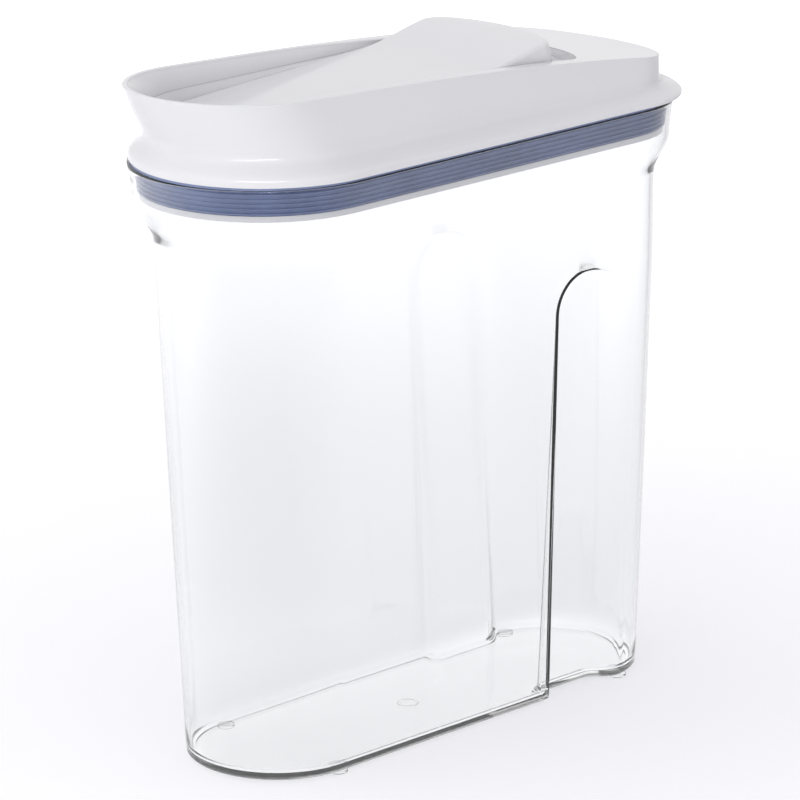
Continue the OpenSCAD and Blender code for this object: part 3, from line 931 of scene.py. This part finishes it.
def flip_cap_mesh(c, lid):
    """The flip cap: a thin tongue that rises to a hump, open below."""
    skin, above_floor, crest_out = 2.0 * MM, 0.9 * MM, 0.08

    def low(y):
        return mix(lid.floor + above_floor, REAR_LOW_HEIGHT, ease(LOW_EDGE_RISES, LOW_EDGE_HIGH, y))

    def top(plan, below):
        return at_height(plan, cap_height(c, lid, plan[:, 1]) - below)

    rings = [top(cap_half(c, lid, 0.2, skin + extra * MM), skin) for extra in (1.2, 0.6)]
    inner = cap_half(c, lid, 1.0, skin)
    outer = cap_half(c, lid, 1.0, 0.0)
    for t in (0.0, 0.15, 0.85, 1.0):
        plan = mix(inner, outer, t)
        rings.append(at_height(plan, low(plan[:, 1])))
    for up in (0.05, 0.2, 0.35, 0.5, 0.65, 0.78):
        plan = cap_half(c, lid, mix(1.0, 0.12, up), 0.0)
        y = plan[:, 1]
        rings.append(at_height(plan, mix(low(y), cap_height(c, lid, y) - c.crown, up)))
    crest, crest_in = cap_half(c, lid, crest_out, 0.0), cap_half(c, lid, crest_out, c.crown)
    crown = mix(c.crown_front, c.crown, ease(CROWN_GROWS, CROWN_FULL, crest[:, 1]))
    for a in np.linspace(0.0, math.pi / 2, 9):
        plan = mix(crest, crest_in, ((1 - math.cos(a)) * crown / c.crown)[:, None])
        rings.append(top(plan, crown * (1 - math.sin(a))))
    rings.append(top(cap_half(c, lid, crest_out, c.crown + 0.7 * MM), 0.0))
    return loft("flip_cap", rings)


# Forms of the gasket

# Half the width and half the height of a rib, the points round it, and the first rib's place
# as a share of the space from one rib to the next
RIB_RADIUS, RIB_HEIGHT = 0.95 * MM, 0.42 * MM
RIB_POINTS = 14
FIRST_RIB = 0.42


def gasket_rows(s, vessel):
    """Lowest level of the ribbed band, and the space from one rib to the next."""
    bevel, below_rim = 2.5 * MM, 0.8 * MM
    low = s.plug + bevel
    high = vessel.rim_top - below_rim
    return low, (high - low) / s.ribs


def gasket_band_mesh(s, vessel, lid):
    """The gasket's band, with its flange between the rim and the skirt."""
    band_in, groove_in, flange_out = 1.3 * MM, 3.0 * MM, 0.5 * MM
    low, _ = gasket_rows(s, vessel)
    rings = [at_height(bore_half(vessel, z, band_in), z) for z in np.linspace(low, vessel.rim_top, 14)]
    flange = bore_half(vessel, vessel.rim_top, -flange_out)
    groove = bore_half(vessel, s.plug, groove_in)
    rings += [at_height(flange, vessel.rim_top), at_height(flange, lid.lower_edge)]
    rings += [at_height(groove, lid.lower_edge), at_height(groove, low)]
    return loft("rim_gasket", rings, closed=True)


def rib_tree():
    """Geometry Nodes that stack ribs along an outline, each a little wider than the one below."""
    tree = bpy.data.node_groups.new("stacked_ribs", "GeometryNodeTree")
    face = tree.interface
    face.new_socket(name="Outline", in_out="INPUT", socket_type="NodeSocketGeometry")
    for name, kind in (
        ("Ribs", "Int"), ("Pitch", "Float"), ("Rib Radius", "Float"), ("Rib Height", "Float"),
        ("Widening", "Vector"), ("Finish", "Material"),
    ):
        face.new_socket(name=name, in_out="INPUT", socket_type="NodeSocket" + kind)
    face.new_socket(name="Ribs", in_out="OUTPUT", socket_type="NodeSocketGeometry")
    g = Graph(tree)
    given = g.add("NodeGroupInput").outputs
    rise = g.add("ShaderNodeCombineXYZ", None, {"Z": given["Pitch"]})
    line = g.add(
        "GeometryNodeMeshLine", {"mode": "OFFSET"},
        {"Count": given["Ribs"], "Offset": rise.outputs[0]},
    )
    curve = g.add("GeometryNodeMeshToCurve", None, {"Mesh": given["Outline"]})
    index = g.add("GeometryNodeInputIndex")
    wider = g.add(
        "ShaderNodeVectorMath", {"operation": "MULTIPLY_ADD"},
        {0: given["Widening"], 1: index.outputs[0], 2: (1.0, 1.0, 1.0)},
    )
    stacked = g.add(
        "GeometryNodeInstanceOnPoints", None,
        {"Points": line.outputs[0], "Instance": curve.outputs[0], "Scale": wider.outputs[0]},
    )
    loose = g.add("GeometryNodeRealizeInstances", None, {"Geometry": stacked.outputs[0]})
    circle = g.add(
        "GeometryNodeCurvePrimitiveCircle", {"mode": "RADIUS"},
        {"Resolution": RIB_POINTS, "Radius": 1.0},
    )
    shape = g.add(
        "ShaderNodeCombineXYZ", None,
        {"X": given["Rib Radius"], "Y": given["Rib Height"], "Z": 1.0},
    )
    profile = g.add(
        "GeometryNodeTransform", None,
        {"Geometry": circle.outputs[0], "Scale": shape.outputs[0]},
    )
    swept = g.add(
        "GeometryNodeCurveToMesh", None,
        {"Curve": loose.outputs[0], "Profile Curve": profile.outputs[0]},
    )
    soft = g.add("GeometryNodeSetShadeSmooth", None, {"Geometry": swept.outputs[0]})
    real = g.add("GeometryNodeRealizeInstances", None, {"Geometry": soft.outputs[0]})
    coated = g.add(
        "GeometryNodeSetMaterial", None,
        {"Geometry": real.outputs[0], "Material": given["Finish"]},
    )
    g.add("NodeGroupOutput", None, {0: coated.outputs[0]})
    return tree


def made_by_nodes(name, outline, tree, values):
    """A plain mesh of what a Geometry Nodes tree makes from an outline."""
    source = add_object(name + "_source", outline)
    modifier = source.modifiers.new("nodes", "NODES")
    modifier.node_group = tree
    sockets = {i.name: i.identifier for i in tree.interface.items_tree if i.in_out == "INPUT"}
    for key, value in values.items():
        modifier[sockets[key]] = value
    bpy.context.view_layer.update()
    evaluated = source.evaluated_get(bpy.context.evaluated_depsgraph_get())
    mesh = bpy.data.meshes.new_from_object(evaluated)
    source.modifiers.remove(modifier)
    bpy.data.objects.remove(source)
    if not len(mesh.polygons):
        raise RuntimeError(name + " came out empty")
    mesh.name = name
    return mesh


def outline_mesh(name, half, z):
    """A closed line of edges along a half outline and its mirror image."""
    ring = whole(at_height(half, z))
    mesh = bpy.data.meshes.new(name)
    n = len(ring)
    mesh.from_pydata(ring.tolist(), [(i, (i + 1) % n) for i in range(n)], [])
    return mesh


def rib_values(s, vessel):
    """The lowest rib's outline and height, and the sizes that stack the others above it."""
    low, pitch = gasket_rows(s, vessel)
    first_z = low + FIRST_RIB * pitch
    inset = s.gap + RIB_RADIUS
    first = bore_half(vessel, first_z, inset)
    last = bore_half(vessel, first_z + (s.ribs - 1) * pitch, inset)
    steps = max(1, s.ribs - 1)
    wider = [(last[:, k].max() / first[:, k].max() - 1) / steps for k in (0, 1)]
    values = {"Ribs": s.ribs, "Pitch": pitch, "Rib Radius": RIB_RADIUS, "Rib Height": RIB_HEIGHT,
              "Widening": (wider[0], wider[1], 0.0)}
    return first, first_z, values


# Angles between faces, in degrees, up to which the vessel, its small parts and the mouldings are smooth
VESSEL_SMOOTH, SMALL_SMOOTH, MOULDING_SMOOTH = 50, 40, 38

# Roughness of the mouldings inside the lid and below the cap
INNER_GLOSS = 0.3


# Operators


class CONTAINER_OT_vessel(bpy.types.Operator):
    """Builds the clear vessel with its feet and gate mark"""

    bl_idname = "container.vessel"
    bl_label = "Clear vessel"

    def execute(self, context):
        s = context.scene.container_vessel
        clear = clear_plastic("clear_plastic", s)
        vessel = add_smooth("vessel", vessel_mesh(s), VESSEL_SMOOTH)
        finish_piece(vessel, clear, "vessel", "clear_plastic", "container_body")
        feet = add_smooth("vessel_feet", feet_mesh(s), SMALL_SMOOTH)
        finish_piece(feet, clear, "vessel", "clear_plastic")
        mark = add_smooth("gate_mark", gate_mark_mesh(s), SMALL_SMOOTH)
        finish_piece(mark, clear, "vessel", "clear_plastic")
        return {"FINISHED"}


class CONTAINER_OT_lid(bpy.types.Operator):
    """Builds the lid's shell and finishes its inner frame and hinge pin"""

    bl_idname = "container.lid"
    bl_label = "Lid"

    def execute(self, context):
        s = context.scene.container_lid
        white = white_plastic("white_plastic", s.shade)
        mesh = lid_shell_mesh(s, context.scene.container_cap)
        shell = add_smooth("lid_outer", mesh, MOULDING_SMOOTH)
        finish_piece(shell, white, "lid", "white_plastic", "lid_shell")
        coat_node("lid_frame", white_plastic("frame_plastic", s.shade, INNER_GLOSS))
        coat_node("hinge_pin", ground_steel("ground_steel"))
        return {"FINISHED"}


class CONTAINER_OT_gasket(bpy.types.Operator):
    """Builds the ribbed rim gasket"""

    bl_idname = "container.gasket"
    bl_label = "Rim gasket"

    def execute(self, context):
        s = context.scene.container_gasket
        vessel, lid = context.scene.container_vessel, context.scene.container_lid
        blue = silicone("blue_silicone", s.shade)
        band = add_smooth("gasket_band", gasket_band_mesh(s, vessel, lid), SMALL_SMOOTH)
        finish_piece(band, blue, "lid", "gasket_rubber", "rim_gasket")
        first, first_z, values = rib_values(s, vessel)
        outline = outline_mesh("rib_outline", first, first_z)
        mesh = made_by_nodes("gasket_ribs", outline, rib_tree(), {**values, "Finish": blue})
        finish_piece(add_object("gasket_ribs", mesh), blue, "lid", "gasket_rubber")
        return {"FINISHED"}


class CONTAINER_OT_cap(bpy.types.Operator):
    """Builds the flip cap and finishes its liner and seal"""

    bl_idname = "container.cap"
    bl_label = "Flip cap"

    def execute(self, context):
        lid = context.scene.container_lid
        white = white_plastic("cap_plastic", lid.shade)
        mesh = flip_cap_mesh(context.scene.container_cap, lid)
        cap = add_smooth("cap_outer", mesh, MOULDING_SMOOTH)
        finish_piece(cap, white, "cap", "cap_plastic", "flip_cap")
        coat_node("cap_liner", white_plastic("liner_plastic", lid.shade, INNER_GLOSS))
        coat_node("spout_gasket", silicone("spout_silicone", context.scene.container_gasket.shade))
        return {"FINISHED"}


# Stage

# Camera of the photograph: angles round the object, distance, and the point it looks at
VIEW_AZIMUTH = 0.8108522
VIEW_ELEVATION = 0.2900061
VIEW_ROLL = -0.0117763
VIEW_DISTANCE = 2.11158
VIEW_TARGET = (0.004985, -0.00733, 0.13627)
VIEW_FOCAL_PIXELS = 5184.2
IMAGE_PIXELS = 800.0
SENSOR_WIDTH = 36.0

# Lamps: azimuth and elevation in degrees, and distance, width and height in metres
LAMP_TARGET = (0.0, 0.0, 0.2)
KEY_LAMP = (-15.0, 64.0, 1.8, 2.4, 2.0)
FILL_LAMP = (28.0, 4.0, 1.8, 1.3, 0.8)
STRIP_LAMP = (41.0, 17.0, 1.6, 1.2, 0.06)

# Half the width of the floor in metres, and how far it lies below the feet
FLOOR_REACH = 20.0
FLOOR_GAP = 0.02 * MM

# Directions on the floor: away from the camera, and to the camera's right
AWAY = (-math.sin(VIEW_AZIMUTH), math.cos(VIEW_AZIMUTH))
RIGHT = (math.cos(VIEW_AZIMUTH), math.sin(VIEW_AZIMUTH))


# Places on the floor, in metres along those directions, between which its tone changes
FRONT_FALL, BEHIND_FALL, FAR_RISE = (-0.6, 0.1), (0.04, 0.2), (0.25, 0.9)
RIGHT_FALL = (0.1, 0.6)
FAR_GAIN = 1.13

# Distances from the object's middle, and to its side, over which the floor's own light changes
LIFT_RISE, UNDER_REACH, UNDER_SIDE = (0.15, 1.0), (0.11, 0.15), (0.03, 0.06)

# Parts of a direction, away from the camera and upwards, between which the room's tone changes
ROOM_RISE, OVERHEAD_FALL = (-0.6, 0.75), (0.5, 0.85)


def outward(azimuth, elevation):
    """The direction from the object to a place round it."""
    return Vector((
        math.sin(azimuth) * math.cos(elevation),
        -math.cos(azimuth) * math.cos(elevation),
        math.sin(elevation),
    ))


def add_lamp(name, place, power, mirrored=False):
    """A soft lamp that faces the object. Only a mirrored one shows in glossy surfaces."""
    azimuth, elevation, distance, width, height = place
    lamp = bpy.data.lights.new(name, "AREA")
    lamp.shape = "RECTANGLE"
    lamp.size, lamp.size_y = width, height
    lamp.energy = power
    found = bpy.data.objects.new(name, lamp)
    way = outward(math.radians(azimuth), math.radians(elevation))
    found.location = Vector(LAMP_TARGET) + way * distance
    found.rotation_mode = "QUATERNION"
    found.rotation_quaternion = way.to_track_quat("Z", "Y")
    found.visible_glossy = mirrored
    found.visible_diffuse = not mirrored
    found.visible_transmission = False
    bpy.context.scene.collection.objects.link(found)
    return found


def add_camera():
    camera = bpy.data.cameras.new("camera")
    camera.sensor_width = SENSOR_WIDTH
    camera.lens = VIEW_FOCAL_PIXELS * camera.sensor_width / IMAGE_PIXELS
    camera.clip_start, camera.clip_end = 0.05, 60.0
    found = bpy.data.objects.new("camera", camera)
    back = outward(VIEW_AZIMUTH, VIEW_ELEVATION)
    right = Vector((math.cos(VIEW_AZIMUTH), math.sin(VIEW_AZIMUTH), 0.0))
    up = back.cross(right)
    side = right * math.cos(VIEW_ROLL) + up * math.sin(VIEW_ROLL)
    top = up * math.cos(VIEW_ROLL) - right * math.sin(VIEW_ROLL)
    turn = Matrix((side, top, back)).transposed()
    found.matrix_world = Matrix.Translation(Vector(VIEW_TARGET) + back * VIEW_DISTANCE) @ turn.to_4x4()
    bpy.context.scene.collection.objects.link(found)
    bpy.context.scene.camera = found


def along(g, place, direction):
    """How far a place lies along a direction on the floor."""
    parts = g.add("ShaderNodeSeparateXYZ", None, {0: place})
    return g.value(parts, 0) * direction[0] + g.value(parts, 1) * direction[1]


def bent_rays(g):
    """1 for what is seen by reflection or through clear plastic, and 0 otherwise."""
    path = g.add("ShaderNodeLightPath")
    return g.value(path, "Is Glossy Ray").greatest(g.value(path, "Is Transmission Ray"))


def straight_rays(g):
    """1 for what is seen through clear plastic with no reflection on the way, and 0 otherwise."""
    path = g.add("ShaderNodeLightPath")
    return g.value(path, "Is Transmission Ray") * g.value(path, "Glossy Depth").ramp(0.0, 1.0, 1.0, 0.0)


def floor_tone(g, place, s):
    """Tone of the floor in gloss and clear plastic: it falls off in front of the object and beside it."""
    away = along(g, place, AWAY)
    in_front = away.ramp(*FRONT_FALL, s.front_level, 1.0).greatest(straight_rays(g) * s.through_level)
    behind = away.ramp(*BEHIND_FALL, 1.0, s.far_level)
    far_off = away.ramp(*FAR_RISE, 1.0, FAR_GAIN)
    right = along(g, place, RIGHT).ramp(*RIGHT_FALL, 1.0, s.right_level)
    return in_front * behind * far_off * right


def floor_material(s):
    """Pale floor that shows white and keeps the object's shadow."""
    material, g = new_material("pale_floor")
    place = g.add("ShaderNodeTexCoord").outputs["Object"]
    distance = g.value(g.add("ShaderNodeVectorMath", {"operation": "LENGTH"}, {0: place}), "Value")
    x = g.value(g.add("ShaderNodeSeparateXYZ", None, {0: place}), 0)
    camera = g.value(g.add("ShaderNodeLightPath"), "Is Camera Ray")
    bent = bent_rays(g)
    level = 1.0 - bent * (1.0 - floor_tone(g, place, s))
    shade = g.blend(level, (0.0, 0.0, 0.0, 1.0), rgba(s.floor_shade))
    diffuse = g.add("ShaderNodeBsdfDiffuse", None, {"Color": shade})
    lift = distance.ramp(*LIFT_RISE, s.near_lift, s.far_lift)
    beside = x.greatest(x * -1.0).ramp(*UNDER_SIDE, 1.0, 0.0)
    under = bent * distance.ramp(*UNDER_REACH, s.under_lift, 0.0) * beside
    strength = camera.greatest(bent) * level * lift + under
    glow = g.add("ShaderNodeEmission", None, {"Strength": strength})
    both = g.add("ShaderNodeAddShader", None, {0: diffuse.outputs[0], 1: glow.outputs[0]})
    g.output(both.outputs[0])
    return material


def room(s):
    """White room behind the object, dimmer at the sides, overhead and behind the camera."""
    world = bpy.data.worlds.new("room")
    bpy.context.scene.world = world
    world.use_nodes = True
    g = Graph(world.node_tree)
    way = g.add("ShaderNodeTexCoord").outputs["Generated"]
    height = g.value(g.add("ShaderNodeSeparateXYZ", None, {0: way}), 2)
    round_about = along(g, way, AWAY).ramp(*ROOM_RISE, s.room_level, 1.0)
    round_about = round_about.greatest(straight_rays(g) * s.through_level)
    overhead = height.ramp(*OVERHEAD_FALL, 1.0, s.overhead_level)
    camera = g.value(g.add("ShaderNodeLightPath"), "Is Camera Ray")
    bent = bent_rays(g)
    seen = camera.greatest(bent)
    level = camera + bent * round_about * overhead * (1.0 - camera) + (1.0 - seen) * s.world_level
    tone = g.blend(seen, (0.985, 0.98, 1.03, 1.0), (1.0, 1.0, 1.0, 1.0))
    sky = g.add("ShaderNodeBackground", None, {"Color": tone, "Strength": level})
    g.add("ShaderNodeOutputWorld", None, {"Surface": sky.outputs[0]})


class CONTAINER_OT_stage(bpy.types.Operator):
    """Sets the floor, the lamps, the room and the camera"""

    bl_idname = "container.stage"
    bl_label = "Stage"

    def execute(self, context):
        s = context.scene.container_stage
        mesh = bpy.data.meshes.new("floor")
        corners = [(x * FLOOR_REACH, y * FLOOR_REACH, 0) for x, y in ((-1, -1), (1, -1), (1, 1), (-1, 1))]
        mesh.from_pydata(corners, [], [(0, 1, 2, 3)])
        floor = add_object("floor", mesh)
        floor.location.z = -FLOOR_GAP
        floor.data.materials.append(floor_material(s))
        room(s)
        add_lamp("key_lamp", KEY_LAMP, s.key_power)
        add_lamp("fill_lamp", FILL_LAMP, s.fill_power)
        add_lamp("strip_lamp", STRIP_LAMP, s.strip_power, mirrored=True)
        add_camera()
        context.scene.view_settings.view_transform = "Standard"
        return {"FINISHED"}


class CONTAINER_PT_build(bpy.types.Panel):
    """Lists the steps that build the container"""

    bl_idname = "CONTAINER_PT_build"
    bl_label = "Container"
    bl_space_type = "VIEW_3D"
    bl_region_type = "UI"
    bl_category = "Container"

    def draw(self, context):
        for operator, settings in STEPS:
            self.layout.operator(operator.bl_idname)
            group = getattr(context.scene, settings)
            for key in group.bl_rna.properties.keys():
                if key not in ("rna_type", "name"):
                    self.layout.prop(group, key)


STEPS = [
    (CONTAINER_OT_vessel, "container_vessel"),
    (CONTAINER_OT_lid, "container_lid"),
    (CONTAINER_OT_gasket, "container_gasket"),
    (CONTAINER_OT_cap, "container_cap"),
    (CONTAINER_OT_stage, "container_stage"),
]
GROUPS = {
    "container_vessel": VesselSettings,
    "container_lid": LidSettings,
    "container_gasket": GasketSettings,
    "container_cap": CapSettings,
    "container_stage": StageSettings,
}


def register():
    for name, group in GROUPS.items():
        bpy.utils.register_class(group)
        setattr(bpy.types.Scene, name, bpy.props.PointerProperty(type=group))
    for operator, _ in STEPS:
        bpy.utils.register_class(operator)
    bpy.utils.register_class(CONTAINER_PT_build)


def unregister():
    bpy.utils.unregister_class(CONTAINER_PT_build)
    for operator, _ in reversed(STEPS):
        bpy.utils.unregister_class(operator)
    for name, group in GROUPS.items():
        delattr(bpy.types.Scene, name)
        bpy.utils.unregister_class(group)


def main():
    register()
    for operator, _ in STEPS:
        group, name = operator.bl_idname.split(".")
        getattr(getattr(bpy.ops, group), name)()


if __name__ == "__main__":
    main()
